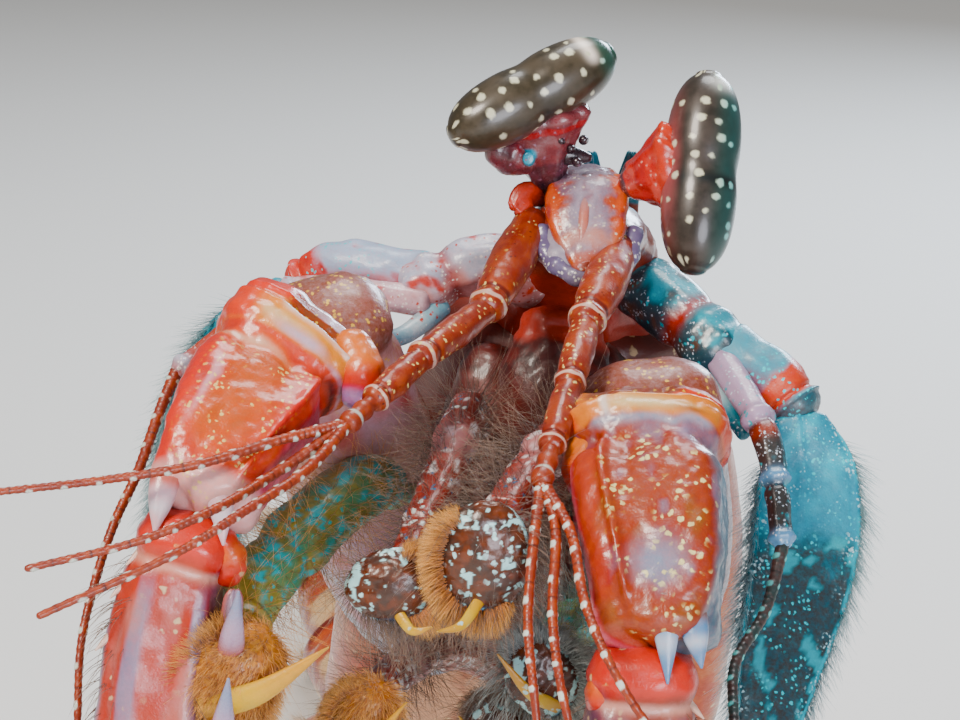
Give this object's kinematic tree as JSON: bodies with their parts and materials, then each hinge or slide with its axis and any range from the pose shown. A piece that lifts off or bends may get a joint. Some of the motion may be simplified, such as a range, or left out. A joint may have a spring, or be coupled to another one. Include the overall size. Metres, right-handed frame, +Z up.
{
  "type": "mantis shrimp",
  "caption": "Life-size still model of a spearing mantis shrimp, reared up with its toothed claws folded, as a museum shows.",
  "frame": {"origin": "middle of the footprint, on the floor that the feet and tail rest on", "axes": "+X is the animal's left, -Y its front, +Z up"},
  "size_m": [0.0574, 0.2191, 0.0907],
  "materials": {
    "shell": "glossy, mottled red-orange and cream",
    "banded_shell": "satin, cross-banded red-brown and cream",
    "cornea": "clear gloss over olive brown with cream spots",
    "stalk": "glossy purple-brown and red",
    "feeler": "red-brown with white beads",
    "scale": "thin, cloudy cyan with turquoise edges",
    "teal_shell": "glossy, dark teal with turquoise flecks",
    "claw": "glossy, red and pink with cream flecks",
    "tooth": "smooth blue-grey and rose",
    "soft": "soft red skin",
    "bristly": "brown shell under long golden bristles"
  },
  "bodies": {
    "root": {"carapace": "shell", "thorax_5": "banded_shell", "thorax_6": "banded_shell", "thorax_7": "banded_shell", "thorax_8": "banded_shell", "abdomen_1": "banded_shell", "abdomen_2": "banded_shell", "abdomen_3": "banded_shell", "abdomen_4": "banded_shell", "abdomen_5": "banded_shell", "abdomen_6": "banded_shell", "telson": "banded_shell", "uropod_right": "banded_shell", "uropod_left": "banded_shell", "walking_leg_1_right": "banded_shell", "walking_leg_1_left": "banded_shell", "walking_leg_2_right": "banded_shell", "walking_leg_2_left": "banded_shell", "walking_leg_3_right": "banded_shell", "walking_leg_3_left": "banded_shell", "head_front": "shell", "rostral_plate": "shell", "eye_right": "cornea", "eye_left": "cornea", "eyestalk_right": "stalk", "eyestalk_left": "stalk", "antennule_right": "shell", "antennule_feelers_right": "feeler", "antennule_left": "shell", "antennule_feelers_left": "feeler", "antenna_root_right": "shell", "antenna_right": "shell", "antenna_feeler_right": "feeler", "antennal_scale_right": "scale", "antenna_root_left": "teal_shell", "antenna_left": "teal_shell", "antenna_feeler_left": "feeler", "antennal_scale_left": "scale", "claw_wrist_right": "claw", "claw_arm_right": "claw", "claw_hand_right": "claw", "claw_finger_right": "tooth", "claw_wrist_left": "claw", "claw_arm_left": "claw", "claw_hand_left": "claw", "claw_finger_left": "tooth", "mouth_parts": "soft", "small_claw_1_right_hand": "bristly", "small_claw_1_right_arm": "bristly", "small_claw_2_right_hand": "bristly", "small_claw_2_right_arm": "bristly", "small_claw_2_left_hand": "bristly", "small_claw_2_left_arm": "bristly", "small_claw_1_left_hand": "bristly", "small_claw_1_left_arm": "bristly", "small_claw_3_right_hand": "bristly", "small_claw_3_right_arm": "bristly", "small_claw_3_left_hand": "bristly", "small_claw_3_left_arm": "bristly"}
  },
  "joints": []
}
